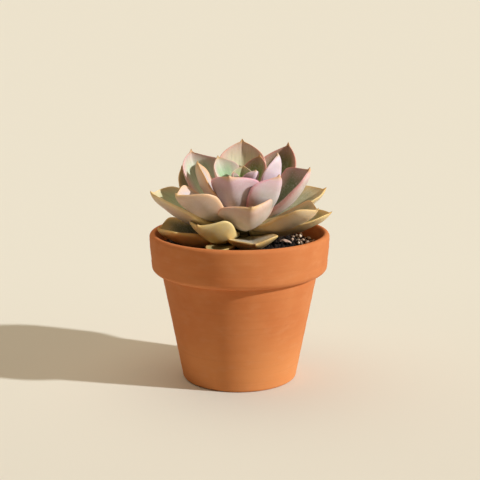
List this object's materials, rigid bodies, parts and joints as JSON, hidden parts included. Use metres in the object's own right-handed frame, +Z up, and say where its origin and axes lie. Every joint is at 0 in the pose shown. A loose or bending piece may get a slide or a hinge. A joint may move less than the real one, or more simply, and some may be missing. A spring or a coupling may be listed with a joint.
{
  "type": "potted echeveria succulent",
  "caption": "Rosette of fleshy, folded echeveria leaves on a short stem, in dark soil in a round terracotta pot with a deep collar.",
  "frame": {"origin": "centre of the pot's underside, where its foot meets the surface it stands on", "axes": "+Z up along the pot's axis, towards the plant; +X and +Y level. The pot is round, so -Y is only the side the plant leans its lower leaves towards"},
  "size_m": [0.1119, 0.11, 0.1457],
  "materials": {
    "terracotta": "matte",
    "potting_soil": "matte",
    "stem_bark": "matte",
    "leaf_skin": "satin",
    "pumice": "matte",
    "dry_husk": "matte"
  },
  "bodies": {
    "root": {"pot": "terracotta", "soil": "potting_soil", "stem": "stem_bark", "leaf_01": "leaf_skin", "leaf_02": "leaf_skin", "leaf_03": "leaf_skin", "leaf_04": "leaf_skin", "leaf_05": "leaf_skin", "leaf_06": "leaf_skin", "leaf_07": "leaf_skin", "leaf_08": "leaf_skin", "leaf_09": "leaf_skin", "leaf_10": "leaf_skin", "leaf_11": "leaf_skin", "leaf_12": "leaf_skin", "leaf_13": "leaf_skin", "leaf_14": "leaf_skin", "leaf_15": "leaf_skin", "leaf_16": "leaf_skin", "leaf_17": "leaf_skin", "leaf_18": "leaf_skin", "leaf_19": "leaf_skin", "leaf_20": "leaf_skin", "leaf_21": "leaf_skin", "leaf_22": "leaf_skin", "leaf_23": "leaf_skin", "leaf_24": "leaf_skin", "leaf_25": "leaf_skin", "leaf_26": "leaf_skin", "leaf_27": "leaf_skin", "leaf_28": "leaf_skin", "leaf_29": "leaf_skin", "leaf_30": "leaf_skin", "leaf_31": "leaf_skin", "leaf_32": "leaf_skin", "leaf_33": "leaf_skin", "grit_01": "pumice", "grit_02": "pumice", "grit_03": "pumice", "grit_04": "pumice", "grit_05": "pumice", "grit_06": "pumice", "grit_07": "pumice", "grit_08": "pumice", "husk": "dry_husk"}
  },
  "joints": []
}
